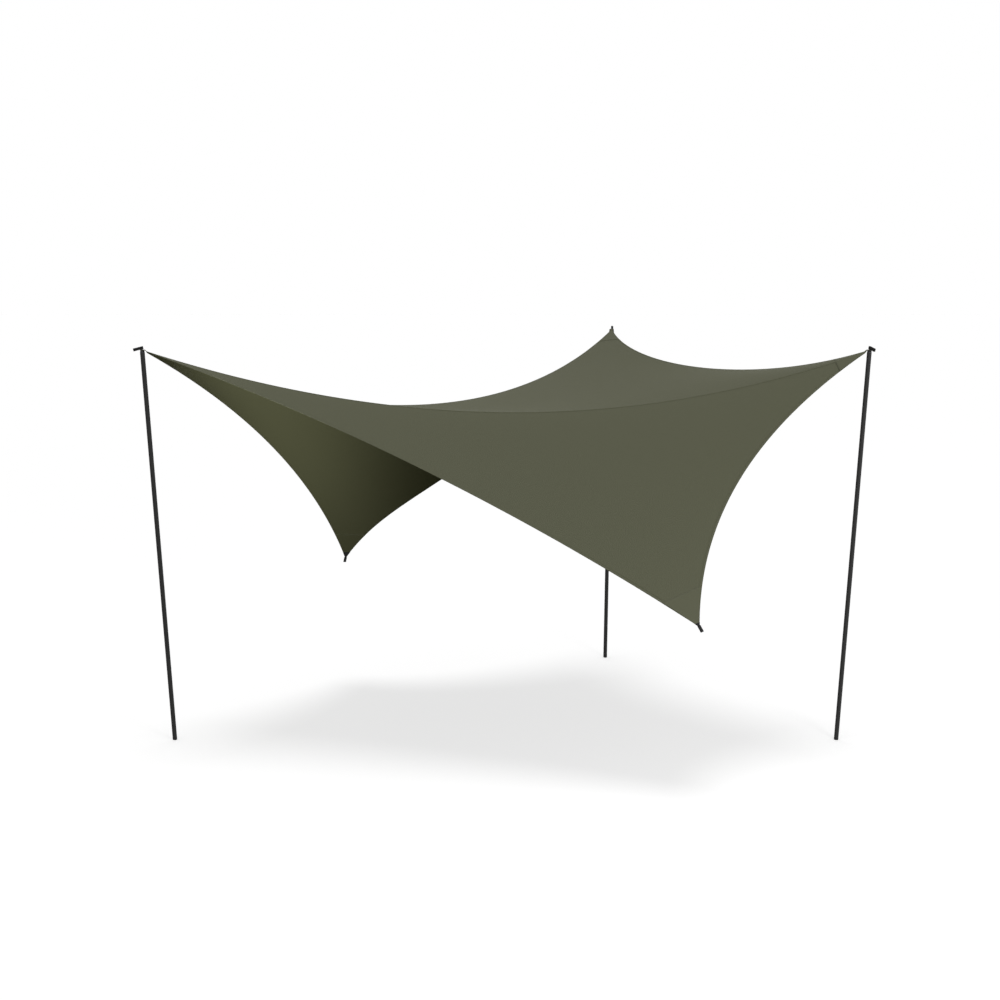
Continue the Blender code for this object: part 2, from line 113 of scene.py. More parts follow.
POLE_LOOP_LENGTH = 0.057
POLE_LOOP_DROOP = math.radians(12)
POLE_LOOP_HEADINGS = {"left": 188, "right": -68, "back": 84}
LOW_LOOP_LENGTH = 0.040
LOW_LOOP_INNER = 0.003
LOW_TAIL_ROWS = {"front_low": 2, "rear_low": 4}
TAIL_MARGIN = 0.0008
SPIKE_GAP = 0.001
STITCH_PITCH = 0.0042
STITCH_LENGTH = 0.0031
STITCH_RADIUS = 0.00042
STITCH_INSET = 0.006
NARROWEST_SEWN = 0.03
STITCH_ARCH = np.array([-1.5, 0.2, 0.5, 0.2, -1.5])[:, None] * STITCH_RADIUS

# Fineness
SPANS = 88
RELAX_STEPS = 2400
FINE_SAMPLES = 800
AXIS_SAMPLE = 80
HEM_COLUMNS = 4
PATCH_ROWS = 15
PATCH_COLUMNS = 24
BRIDGE_ROWS = 6
LOOP_END_STEPS = 14
LOOP_LEG_STEPS = 8
LOOP_COLUMNS = 7
ROUND_SIDES = 48
HOLE_SIDES = 32
SHARP_ANGLE = math.radians(40)
MOST_INSIDE = 0.45

DOWN = np.array([0.0, 0.0, -1.0])
PoleSite = namedtuple("PoleSite", "foot tip")
Line = namedtuple("Line", "start end toward bow sag bow_skew sag_skew")


def pole_site(foot_x, foot_y, lean_x):
    foot = np.array([foot_x, foot_y, 0.0])
    rise = math.sqrt(POLE_LENGTH ** 2 - lean_x ** 2)
    return PoleSite(foot, foot + np.array([lean_x, 0.0, rise]))


POLES = {
    "left": pole_site(-FRONT_FOOT_X, 0.0, -FRONT_LEAN_X),
    "right": pole_site(FRONT_FOOT_X, 0.0, FRONT_LEAN_X),
    "back": pole_site(*BACK_FOOT, BACK_LEAN_X),
}
CORNERS = {name: site.tip for name, site in POLES.items()}
CORNERS["front_low"] = np.array(FRONT_LOW_CORNER)
CORNERS["rear_low"] = np.array(REAR_LOW_CORNER)

# How far each edge is cut in and sags at mid-span, and how far that leans to its start
LINES = {
    "front_edge": Line("left", "front_low", "right", 0.10, 0.0, 0.0, 0.0),
    "side_edge": Line("front_low", "right", "left", 0.275, 0.095, 0.0, 0.0),
    "back_edge": Line("right", "back", "left", 0.245, 0.163, -0.57, 0.15),
    "rear_edge": Line("back", "rear_low", "left", 0.47, 0.52, 0.14, 0.45),
    "left_edge": Line("left", "rear_low", "back", 0.187, 0.048, 0.0, 0.0),
    "front_fold": Line("left", "right", "back", 0.0, 0.351, 0.0, -0.048),
    "back_fold": Line("left", "back", "right", 0.43, 0.359, 0.0, 0.0),
}
PANELS = {
    "front_wing": ("front_edge", "front_fold", "side_edge"),
    "centre_panel": ("front_fold", "back_fold", "back_edge"),
    "back_wing": ("back_fold", "left_edge", "rear_edge"),
}
FANS = {
    "left": ("front_edge", "front_fold", "back_fold", "left_edge"),
    "right": ("side_edge", "front_fold", "back_edge"),
    "back": ("back_edge", "back_fold", "rear_edge"),
    "front_low": ("front_edge", "side_edge"),
    "rear_low": ("left_edge", "rear_edge"),
}


def plan_shift():
    """From the pitch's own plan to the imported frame: the left eyelet is round the left tip."""
    low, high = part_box("eyelet_left")
    middle = (np.array(low) + np.array(high)) / 2
    return np.array([*(middle - CORNERS["left"])[:2], 0.0])


SHIFT = plan_shift()
POLES = {name: PoleSite(site.foot + SHIFT, site.tip + SHIFT) for name, site in POLES.items()}
CORNERS = {name: corner + SHIFT for name, corner in CORNERS.items()}


# The cloth's shape

def unit(vector):
    return vector / np.linalg.norm(vector)


def line_points(name, samples):
    """Points along an edge or fold, evenly spaced in its own parameter."""
    line = LINES[name]
    start = CORNERS[line.start]
    chord = CORNERS[line.end] - start
    inward = CORNERS[line.toward] - start
    inward = unit(inward - unit(chord) * np.dot(inward, unit(chord)))
    t = np.linspace(0.0, 1.0, samples + 1)[:, None]
    arch = 4 * t * (1 - t)
    bow = line.bow * (1 + line.bow_skew * (1 - 2 * t))
    sag = line.sag * (1 + line.sag_skew * (1 - 2 * t))
    return start + chord * t + arch * (bow * inward + sag * DOWN)


def leading_away(name, corner):
    points = line_points(name, FINE_SAMPLES)
    return points if LINES[name].start == corner else points[::-1]


def corner_axis(corner):
    """Unit vector from the cloth out through the corner's tip."""
    towards = [unit(leading_away(name, corner)[AXIS_SAMPLE] - CORNERS[corner])
               for name in FANS[corner]]
    return -unit(sum(towards))


CORNER_AXES = {corner: corner_axis(corner) for corner in CORNERS}


def point_at(name, corner, depth):
    """Where an edge or fold crosses the plane that lies depth inside the corner's tip."""
    points = leading_away(name, corner)
    depths = (CORNERS[corner] - points) @ CORNER_AXES[corner]
    k = int(np.argmax(depths > depth))
    share = (depth - depths[k - 1]) / (depths[k] - depths[k - 1])
    return points[k - 1] + (points[k] - points[k - 1]) * share


def cloth_net(lines):
    """Rows of points over a panel from the left corner outward, relaxed under even tension."""
    first, second, far = (line_points(name, SPANS) for name in lines)
    u = np.linspace(0.0, 1.0, SPANS + 1)[:, None, None]
    v = np.linspace(0.0, 1.0, SPANS + 1)[None, :, None]
    net = (1 - v) * first[:, None] + v * second[:, None]
    net = net + u * (far[None] - (1 - v) * far[0] - v * far[-1])
    reach = ((net[2:, 1:-1] - net[:-2, 1:-1]) ** 2).sum(axis=2)[..., None]
    breadth = ((net[1:-1, 2:] - net[1:-1, :-2]) ** 2).sum(axis=2)[..., None]
    for _ in range(RELAX_STEPS):
        lengthwise = (net[2:, 1:-1] + net[:-2, 1:-1]) * breadth
        crosswise = (net[1:-1, 2:] + net[1:-1, :-2]) * reach
        net[1:-1, 1:-1] = (lengthwise + crosswise) / (2 * (reach + breadth))
    return net


NETS = {panel: cloth_net(lines) for panel, lines in PANELS.items()}


def shares_inside(net, width):
    """For each row, the share of it that takes a point this far inside the first column."""
    step = (net[:, 1] - net[:, 0]) * (net.shape[1] - 1)
    along = np.gradient(net[:, 0], axis=0)
    along /= np.maximum(np.linalg.norm(along, axis=1), 1e-9)[:, None]
    square = np.linalg.norm(step - along * (step * along).sum(axis=1)[:, None], axis=1)
    return np.minimum(width / np.maximum(square, 1e-9), MOST_INSIDE)


def along_rows(net, shares):
    """Points at the given shares of each row."""
    places = shares * (net.shape[1] - 1)
    before = np.clip(np.floor(places).astype(int), 0, net.shape[1] - 2)
    rest = (places - before)[..., None]
    row = np.arange(net.shape[0])[:, None]
    return net[row, before] * (1 - rest) + net[row, before + 1] * rest


def draw_in(net, first, second, far):
    """Shrink a net on its own surface by a width at each of its three lines."""
    low = shares_inside(net, first)[:, None]
    high = 1 - shares_inside(net[:, ::-1], second)[:, None]
    net = along_rows(net, low + (high - low) * np.linspace(0.0, 1.0, net.shape[1]))
    columns = net.transpose(1, 0, 2)
    reach = 1 - shares_inside(columns[:, ::-1], far)[:, None]
    columns = along_rows(columns, reach * np.linspace(0.0, 1.0, columns.shape[1]))
    return columns.transpose(1, 0, 2)


def line_inside(panel, line, width):
    """The line in a panel that runs a width inside one of its three sides."""
    side = PANELS[panel].index(line)
    net = draw_in(NETS[panel], *(width if k == side else 0.0 for k in range(3)))
    return (net[:, 0], net[:, -1], net[-1])[side]


# Meshes

def take_mesh(bm, name):
    mesh = bpy.data.meshes.new(name)
    bm.to_mesh(mesh)
    bm.free()
    return mesh


def add_piece(name, mesh, finishes, body, nodes):
    """Link a piece, give it its finishes, and say what it rides on and stands for."""
    piece = bpy.data.objects.new(name, mesh)
    bpy.context.scene.collection.objects.link(piece)
    mesh.materials.clear()
    for finish in finishes:
        mesh.materials.append(finish.owner)
    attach(piece, body)
    if nodes:
        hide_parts(*nodes)
    return piece


def steps_along(points):
    """Distance run along a line of points."""
    lengths = np.linalg.norm(np.diff(points, axis=0), axis=1)
    return np.concatenate([[0.0], np.cumsum(lengths)])


def add_grid(bm, net, run, across):
    """Lay a grid of quads through a net, with its UV map in metres along and across."""
    rows, columns = net.shape[:2]
    made = bmesh.ops.create_grid(bm, x_segments=rows - 1, y_segments=columns - 1, size=0.5)
    place = {}
    for vertex in made["verts"]:
        i = round((vertex.co.x + 0.5) * (rows - 1))
        j = round((vertex.co.y + 0.5) * (columns - 1))
        vertex.co = net[i, j]
        place[vertex] = (run[i, j], across[i, j])
    layer = bm.loops.layers.uv.verify()
    faces = {face for vertex in made["verts"] for face in vertex.link_faces}
    for face in faces:
        face.smooth = True
        for loop in face.loops:
            loop[layer].uv = place[loop.vert]


def face_up(bm):
    """Turn a sheet of cloth the right way up."""
    bm.normal_update()
    if sum(face.normal.z * face.calc_area() for face in bm.faces) < 0:
        bmesh.ops.reverse_faces(bm, faces=bm.faces)


def net_measures(net):
    """For every point of a net, the distance along its column and across its row."""
    run = np.stack([steps_along(net[:, j]) for j in range(net.shape[1])], axis=1)
    across = np.stack([steps_along(net[i]) for i in range(net.shape[0])], axis=0)
    return run, across


def cut_off(bm, point, outward):
    bmesh.ops.bisect_plane(bm, geom=bm.verts[:] + bm.edges[:] + bm.faces[:], dist=1e-6,
                           plane_co=point, plane_no=outward, clear_outer=True)


def thicken(piece, thickness, other_side=0):
    """Give a sheet its thickness, half to each side; other_side counts on to its finish."""
    shell = piece.modifiers.new("thickness", "SOLIDIFY")
    shell.thickness = thickness
    shell.offset = 0.0
    shell.material_offset = other_side


def round_edges(piece, width):
    bevel = piece.modifiers.new("rounded_edges", "BEVEL")
    bevel.width = width
    bevel.segments = 2
    bevel.limit_method = "ANGLE"
    bevel.angle_limit = math.radians(50)


def as_shown(thing):
    """The mesh that an object shows, with what its modifiers or its bevel make of it."""
    bpy.context.view_layer.update()
    shown = thing.evaluated_get(bpy.context.evaluated_depsgraph_get())
    return bpy.data.meshes.new_from_object(shown)


def frame_at(origin, up, ahead):
    """Matrix with Z along up and X as near to ahead as it can be."""
    z = Vector(up).normalized()
    x = Vector(ahead)
    x = (x - z * x.dot(z)).normalized()
    turn = Matrix((x, z.cross(x), z)).transposed().to_4x4()
    return Matrix.Translation(Vector(origin)) @ turn


def turned_mesh(name, profile, matrix, closed=True):
    """Spin a profile of (radius, height) round the matrix's Z axis."""
    bm = bmesh.new()
    knots = [bm.verts.new((radius, 0.0, height)) for radius, height in profile]
    pairs = list(zip(knots, knots[1:])) + ([(knots[-1], knots[0])] if closed else [])
    edges = [bm.edges.new(pair) for pair in pairs]
    bmesh.ops.spin(bm, geom=knots + edges, cent=(0, 0, 0), axis=(0, 0, 1), dvec=(0, 0, 0),
                   angle=2 * math.pi, steps=ROUND_SIDES, use_merge=True, use_duplicate=False)
    bmesh.ops.remove_doubles(bm, verts=bm.verts, dist=1e-6)
    bmesh.ops.recalc_face_normals(bm, faces=bm.faces)
    bmesh.ops.transform(bm, matrix=matrix, verts=bm.verts)
    mesh = take_mesh(bm, name)
    mesh.shade_smooth()
    mesh.set_sharp_from_angle(angle=SHARP_ANGLE)
    return mesh


# Finishes

class Value:
    """A shader socket that takes part in sums: each operator adds its Math node."""

    def __init__(self, shade, socket):
        self.shade = shade
        self.socket = socket

    def math(self, operation, first, second=None, clamp=False):
        inputs = {0: first} if second is None else {0: first, 1: second}
        return self.shade.node("ShaderNodeMath", {"operation": operation, "use_clamp": clamp},
                               inputs)

    def __add__(self, other):
        return self.math("ADD", self, other)

    def __radd__(self, other):
        return self.math("ADD", other, self)

    def __sub__(self, other):
        return self.math("SUBTRACT", self, other)

    def __rsub__(self, other):
        return self.math("SUBTRACT", other, self)

    def __mul__(self, other):
        return self.math("MULTIPLY", self, other)

    def __rmul__(self, other):
        return self.math("MULTIPLY", other, self)

    def __truediv__(self, other):
        return self.math("DIVIDE", self, other)

    def sine(self):
        return self.math("SINE", self)

    def size(self):
        return self.math("ABSOLUTE", self)

    def part(self):
        return self.math("FRACT", self)

    def below(self, limit):
        return self.math("LESS_THAN", self, limit)

    def clamped(self):
        return self.math("MULTIPLY", self, 1.0, clamp=True)

    def at_least(self, other):
        return self.math("MAXIMUM", self, other)


class Shade:
    """A node tree whose nodes are all made by one method."""

    def __init__(self, owner):
        owner.use_nodes = True
        self.owner = owner
        self.tree = owner.node_tree

    def node(self, kind, settings, inputs, output=0):
        """Add a node, set its settings, then give its sockets values or links."""
        made = self.tree.nodes.new(kind)
        for key, value in settings.items():
            setattr(made, key, value)
        for key, value in inputs.items():
            self.feed(made.inputs[key], value)
        return Value(self, made.outputs[output])

    def feed(self, socket, value):
        if isinstance(value, Value):
            self.tree.links.new(value.socket, socket)
        elif isinstance(value, tuple) and len(value) == 3 and socket.type == "RGBA":
            socket.default_value = (*value, 1.0)
        else:
            socket.default_value = value

    def mix(self, share, first, second):
        """Colour from first to second as share goes from 0 to 1."""
        return self.node("ShaderNodeMix", {"data_type": "RGBA"},
                         {0: share, 6: first, 7: second}, 2)

    def seen_directly(self):
        """1 for rays from the camera, from a mirror or through glass."""
        camera, glossy, through = [
            self.node("ShaderNodeLightPath", {}, {}, f"Is {kind} Ray")
            for kind in ("Camera", "Glossy", "Transmission")]
        return camera.at_least(glossy).at_least(through)


class Finish(Shade):
    """A material on one shader, with the patterns that this tarp's finishes share."""

    def __init__(self, name, roughness, metallic=0.0):
        super().__init__(bpy.data.materials.new(name))
        self.shader = self.tree.nodes["Principled BSDF"]
        self.set("Roughness", roughness)
        self.set("Metallic", metallic)

    def set(self, name, value):
        self.feed(self.shader.inputs[name], value)

    def place(self):
        """Object coordinates, in metres."""
        return self.node("ShaderNodeTexCoord", {}, {}, "Object")

    def cloth_place(self):
        """Metres along and across the cloth, from the piece's own UV map."""
        flat = self.node("ShaderNodeTexCoord", {}, {}, "UV")
        return [self.node("ShaderNodeSeparateXYZ", {}, {0: flat}, axis) for axis in (0, 1)]

    def noise(self, vector, scale, detail, roughness=0.5):
        return self.node("ShaderNodeTexNoise", {},
                         {"Vector": vector, "Scale": scale, "Detail": detail,
                          "Roughness": roughness}, "Fac")

    def stretched(self, vector, scale):
        return self.node("ShaderNodeMapping", {}, {"Vector": vector, "Scale": scale})

    def bump(self, height, distance, strength):
        normal = self.node("ShaderNodeBump", {}, {"Height": height, "Distance": distance,
                                                  "Strength": strength}, "Normal")
        self.set("Normal", normal)


def scaled(colour, factor):
    return tuple(channel * factor for channel in colour)


CLOTH_COLOUR = (0.1105, 0.1135, 0.0735)
# The underside, and the underside of every trim, takes the top's cloth colour made darker and
# yellower: painted shade for the shade that falls under the canopy.
UNDERSIDE_SHADED_COLOUR = (0.0897, 0.0918, 0.0505)
TOP_GLOSS = 0.17
UNDERSIDE_GLOSS = 0.02
DOUBLED_SHADE = 0.99
SIDES = {"top": (scaled(CLOTH_COLOUR, DOUBLED_SHADE), TOP_GLOSS),
         "underside": (scaled(UNDERSIDE_SHADED_COLOUR, DOUBLED_SHADE), UNDERSIDE_GLOSS)}
THREAD_COLOUR = scaled(CLOTH_COLOUR, 0.72)
BLACK_WEBBING = (0.026, 0.026, 0.0265)
POLE_BLACK = (0.051, 0.051, 0.052)
BARE_STEEL = (0.56, 0.56, 0.57)
GUNMETAL = (0.07, 0.07, 0.07)
BLACKENED_STEEL = (0.045, 0.045, 0.048)
RUBBER_BLACK = (0.018, 0.018, 0.019)
DUST = (0.16, 0.15, 0.13)
THREAD_PITCH = 0.0011
RIB_PITCH_IN_WEBBING = 0.0016
CHEVRON_PITCH = 0.0042
ROW_STITCH_PITCH = 0.0034
ROW_STITCH_HALF_SHARE = 0.36
ROW_STITCH_HALF_WIDTH = 0.0005
HEM_ROW_INSET = 0.0022
SEAM_ROW_OFFSET = 0.0045
HEM_ROWS = (HEM_WIDTH - HEM_ROW_INSET,)
SEAM_ROWS = (SEAM_HALF_WIDTH - SEAM_ROW_OFFSET, SEAM_HALF_WIDTH + SEAM_ROW_OFFSET)


def waves(distance, pitch):
    return (distance * (2 * math.pi / pitch)).sine()


def weave(run, across):
    """Height of a plain weave: warp and weft threads that take turns on top."""
    return waves(run, THREAD_PITCH) * waves(across, THREAD_PITCH)


def cloth_finish(name, colour, gloss, roughness, weave_depth):
    """Plain-woven coated polyester, with faint unevenness in its dye."""
    shade = Finish(name, roughness)
    run, across = shade.cloth_place()
    threads = weave(run, across)
    cloudy = shade.noise(shade.place(), 1.7, 4.0, 0.55)
    fine = shade.noise(shade.place(), 260.0, 2.0)
    tone = 0.975 + 0.03 * cloudy + 0.02 * fine + 0.02 * threads
    shade.set("Base Color", shade.mix(tone - 0.5, scaled(colour, 0.5), scaled(colour, 1.5)))
    shade.set("Roughness", roughness + 0.08 * (cloudy - 0.5))
    shade.set("Specular IOR Level", gloss)
    shade.bump(threads, weave_depth, 0.5)
    return shade


def stitch_rows(run, across, rows):
    """1 on the thread of straight stitch rows, each a distance across the piece."""
    dash = ((run / ROW_STITCH_PITCH).part() - 0.5).size().below(ROW_STITCH_HALF_SHARE)
    mask = 0.0
    for row in rows:
        mask = (across - row).size().below(ROW_STITCH_HALF_WIDTH) + mask
    return mask * dash


def trim_finish(name, rows, colour, gloss):
    """The cloth doubled over, with its rows of stitching."""
    shade = Finish(name, 0.8)
    run, across = shade.cloth_place()
    threads = weave(run, across)
    stitches = stitch_rows(run, across, rows)
    cloudy = shade.noise(shade.place(), 9.0, 3.0)
    tone = 0.48 + 0.04 * cloudy + 0.02 * threads
    cloth = shade.mix(tone, scaled(colour, 0.5), scaled(colour, 1.5))
    shade.set("Base Color", shade.mix(stitches, cloth, THREAD_COLOUR))
    pucker = shade.noise(shade.place(), 120.0, 2.0)
    shade.set("Specular IOR Level", gloss)
    shade.bump(threads * 0.1 + stitches * 1.2 + pucker * 0.8, 0.0004, 0.6)
    return shade


def webbing_finish(name):
    """Black polyester webbing, with ribs that wave across it."""
    shade = Finish(name, 0.85)
    run, across = shade.cloth_place()
    wavy = waves(across, CHEVRON_PITCH) * 1.4
    ribs = (run * (2 * math.pi / RIB_PITCH_IN_WEBBING) + wavy).sine()
    fuzz = shade.noise(shade.place(), 900.0, 2.0)
    tone = 0.45 + 0.14 * ribs + 0.10 * fuzz
    dark, light = scaled(BLACK_WEBBING, 0.4), scaled(BLACK_WEBBING, 1.6)
    shade.set("Base Color", shade.mix(tone, dark, light))
    shade.set("Specular IOR Level", 0.15)
    shade.bump(ribs + fuzz * 0.4, 0.00025, 0.7)
    return shade


def pole_finish(name):
    """Satin black powder coat: fine orange peel and a few dull scuffs."""
    shade = Finish(name, 0.5)
    shade.set("Specular IOR Level", 0.08)
    peel = shade.noise(shade.place(), 900.0, 2.0)
    scuffs = shade.noise(shade.stretched(shade.place(), (90.0, 90.0, 4.0)), 1.0, 6.0, 0.7)
    worn = ((scuffs - 0.62) * 6.0).clamped()
    shade.set("Base Color", shade.mix(worn, POLE_BLACK, scaled(POLE_BLACK, 1.9)))
    shade.set("Roughness", 0.46 + 0.18 * peel + 0.2 * worn)
    shade.bump(peel, 0.00006, 0.6)
    return shade


def steel_finish(name, colour, roughness, wear):
    """Drawn or turned steel: fine rings round the axis and a patchy film of use."""
    shade = Finish(name, roughness, 1.0)
    rings = shade.noise(shade.stretched(shade.place(), (40.0, 40.0, 2600.0)), 1.0, 2.0)
    film = shade.noise(shade.place(), 60.0, 4.0, 0.6)
    shade.set("Base Color", shade.mix(film * wear, colour, scaled(colour, 0.45)))
    shade.set("Roughness", roughness + 0.15 * (film - 0.5) + 0.10 * (rings - 0.5))
    shade.bump(rings, 0.00003, 0.5)
    return shade


def rubber_finish(name):
    """Moulded black rubber with dust at the ground."""
    shade = Finish(name, 0.88)
    height = shade.node("ShaderNodeSeparateXYZ", {}, {0: shade.place()}, 2)
    grit = shade.noise(shade.place(), 420.0, 3.0)
    dust = ((0.007 - height) * 90.0).clamped() * grit
    shade.set("Base Color", shade.mix(dust, RUBBER_BLACK, DUST))
    shade.bump(grit, 0.0002, 0.5)
    return shade


def thread_finish(name):
    """Bonded sewing thread, twisted."""
    shade = Finish(name, 0.6)
    twist = shade.noise(shade.place(), 1500.0, 1.0)
    dark, light = scaled(THREAD_COLOUR, 0.7), scaled(THREAD_COLOUR, 1.4)
    shade.set("Base Color", shade.mix(twist, dark, light))
    shade.bump(twist, 0.0001, 0.5)
    return shade


TOP_CLOTH = cloth_finish("canopy_top_cloth", CLOTH_COLOUR, TOP_GLOSS, 0.82, 0.00025)
# Underside cloth: its darker, yellower colour is painted shade.
UNDER_CLOTH = cloth_finish("canopy_underside_painted_shade", UNDERSIDE_SHADED_COLOUR, UNDERSIDE_GLOSS,
                           0.7, 0.00012)
HEM_CLOTHS, PATCH_CLOTHS, SEAM_CLOTHS = [
    [trim_finish(f"{name}_{side}", rows, *cloth) for side, cloth in SIDES.items()]
    for name, rows in (("hem", HEM_ROWS), ("patch", ()), ("seam", SEAM_ROWS))]
WEBBING = webbing_finish("black_webbing")
POLE_COAT = pole_finish("pole_powder_coat")
FERRULE_STEEL = steel_finish("ferrule_steel", BARE_STEEL, 0.32, 0.5)
EYELET_STEEL = steel_finish("eyelet_gunmetal", GUNMETAL, 0.38, 0.6)
SPIKE_STEEL = steel_finish("spike_blackened_steel", BLACKENED_STEEL, 0.42, 0.5)
FOOT_RUBBER = rubber_finish("foot_rubber")
THREAD = thread_finish("sewing_thread")


# Canopy

def whole_cloth(room):
    """All three panels as one sheet, welded along the folds, drawn in from the edges."""
    bm = bmesh.new()
    for panel, lines in PANELS.items():
        net = draw_in(NETS[panel], *(0.0 if "fold" in line else room for line in lines))
        part = bmesh.new()
        add_grid(part, net, *net_measures(net))
        face_up(part)
        bm.from_mesh(take_mesh(part, panel))
    bmesh.ops.remove_doubles(bm, verts=bm.verts, dist=1e-5)
    return bm


def build_cloth():
    bm = whole_cloth(HEM_WIDTH / 3)
    for corner, axis in CORNER_AXES.items():
        cut_off(bm, CORNERS[corner] - axis * (PATCH_LENGTH - CLOTH_INTO_PATCH), axis)
    area = sum(face.calc_area() for face in bm.faces)
    mesh = take_mesh(bm, "tarp_cloth")
    piece = add_piece("tarp_cloth", mesh, (TOP_CLOTH, UNDER_CLOTH), "canopy",
                      PANELS)
    thicken(piece, CLOTH_THICKNESS, other_side=1)
    return piece, area


def strip(name, columns, thickness, finishes, ends, node):
    """A narrow strip of cloth laid through lines that run side by side along an edge."""
    net = np.stack(columns, axis=1)
    middle = steps_along(net[:, net.shape[1] // 2])
    run = np.repeat(middle[:, None], net.shape[1], axis=1)
    across = np.stack([steps_along(row) for row in net], axis=0)
    bm = bmesh.new()
    add_grid(bm, net, run, across)
    for corner in ends:
        axis = CORNER_AXES[corner]
        cut_off(bm, CORNERS[corner] - axis * (PATCH_LENGTH - TRIM_INTO_PATCH), axis)
    bmesh.ops.remove_doubles(bm, verts=bm.verts, dist=1e-6)
    face_up(bm)
    piece = add_piece(name, take_mesh(bm, name), finishes, "canopy", (node,))
    thicken(piece, thickness, other_side=1)
    round_edges(piece, thickness * TRIM_ROUNDING)
    return piece


def build_hem(line):
    panel = next(name for name, lines in PANELS.items() if line in lines)
    columns = [line_inside(panel, line, HEM_WIDTH * k / HEM_COLUMNS)
               for k in range(HEM_COLUMNS + 1)]
    if PANELS[panel].index(line) > 0:
        columns = columns[::-1]
    return strip(line + "_turned_hem", columns, HEM_THICKNESS, HEM_CLOTHS,
                 (LINES[line].start, LINES[line].end), line + "_hem")


def build_seam(line):
    """A flat-felled seam that wraps the fold, half on each panel."""
    before, after = [name for name, lines in PANELS.items() if line in lines]
    widths = (SEAM_HALF_WIDTH, SEAM_HALF_WIDTH * SEAM_CREST_SHARE)
    columns = [line_inside(before, line, width) for width in widths]
    columns.append(line_points(line, SPANS))
    columns += [line_inside(after, line, width) for width in widths[::-1]]
    return strip(line + "_felled_seam", columns, SEAM_THICKNESS, SEAM_CLOTHS,
                 (LINES[line].start, LINES[line].end), line + "_seam")


def pole_frame(corner):
    """Frame at a pole's tip: Z up the pole, X out from the cloth."""
    site = POLES[corner]
    return frame_at(site.tip, site.tip - site.foot, CORNER_AXES[corner])


def patch_rows(corner, surface):
    """Rows of points across a corner, lying on the cloth, down to its tip or tongue."""
    low = corner not in POLES
    depths = np.linspace(PATCH_LENGTH, LOW_PATCH_TIP if low else TONGUE_START, PATCH_ROWS)
    columns = PATCH_COLUMNS // (len(FANS[corner]) - 1)
    rows = []
    for depth in depths:
        marks = [point_at(name, corner, depth) for name in FANS[corner]]
        row = []
        for here, there in zip(marks, marks[1:]):
            row += [here + (there - here) * k / columns for k in range(columns)]
        row.append(marks[-1])
        hold = 1.0 if low else min(1.0, (depth - TONGUE_START) / LEAVING_LENGTH)
        for k, point in enumerate(row):
            near = surface.find_nearest(Vector(point))[0]
            row[k] = point + (np.array(near) - point) * hold
        rows.append(row)
    if not low:
        tongue = tongue_rows(corner, Vector(rows[0][-1] - rows[0][0]), len(rows[0]))
        rows += bridging_rows(np.array(rows[-2:]), np.array(tongue[:2])) + tongue
    return np.array(rows)


def bridging_rows(before, after):
    """Rows that run smoothly from the last two rows of a patch into its tongue."""
    gap = np.linalg.norm(after[0] - before[1], axis=1, keepdims=True) * BRIDGE_PULL
    leaving, arriving = [
        gap * (pair[1] - pair[0]) / np.linalg.norm(pair[1] - pair[0], axis=1, keepdims=True)
        for pair in (before, after)]
    rows = []
    for t in np.arange(1, BRIDGE_ROWS + 1) / (BRIDGE_ROWS + 1):
        ease = t * t * (3 - 2 * t)
        rows.append(before[1] * (1 - ease) + after[0] * ease
                    + t * (1 - t) * ((1 - t) * leaving - t * arriving))
    return rows


def tongue_rows(corner, across, count):
    """Rows across a flat tongue, square to the pole, with its end round about the pole."""
    place = pole_frame(corner)
    side = 1 if place.col[1].to_3d().dot(across) > 0 else -1
    outline = [(-TONGUE_RADIUS * share, TONGUE_RADIUS) for share in (1.0, 0.5)]
    for degrees in TONGUE_ANGLES:
        angle = math.radians(degrees)
        outline.append((TONGUE_RADIUS * math.sin(angle), TONGUE_RADIUS * math.cos(angle)))
    shares = np.linspace(-side, side, count)
    return [[np.array(place @ Vector((x, half * share, 0.0))) for share in shares]
            for x, half in outline]


def punch_hole(piece, corner):
    """Cut the eyelet's hole and keep the result as the piece's mesh."""
    bm = bmesh.new()
    radius = EYELET_BORE + EYELET_SHEET + GAP
    bmesh.ops.create_cone(bm, cap_ends=True, segments=HOLE_SIDES, radius1=radius,
                          radius2=radius, depth=8 * PATCH_THICKNESS, matrix=pole_frame(corner))
    cutter = bpy.data.objects.new("punch", take_mesh(bm, "punch"))
    bpy.context.scene.collection.objects.link(cutter)
    cut = piece.modifiers.new("eyelet_hole", "BOOLEAN")
    cut.object = cutter
    cut.solver = "EXACT"
    mesh = as_shown(piece)
    piece.modifiers.clear()
    piece.data = mesh
    bpy.data.objects.remove(cutter, do_unlink=True)


def build_patch(corner, surface):
    name = "corner_patch_" + corner
    rows = patch_rows(corner, surface)
    run, across = net_measures(rows)
    bm = bmesh.new()
    add_grid(bm, rows, across, run)
    face_up(bm)
    piece = add_piece(name + "_doubled", take_mesh(bm, name), PATCH_CLOTHS, "canopy",
                      (name,))
    thicken(piece, PATCH_THICKNESS, other_side=1)
    if corner in POLES:
        punch_hole(piece, corner)
    return piece, rows


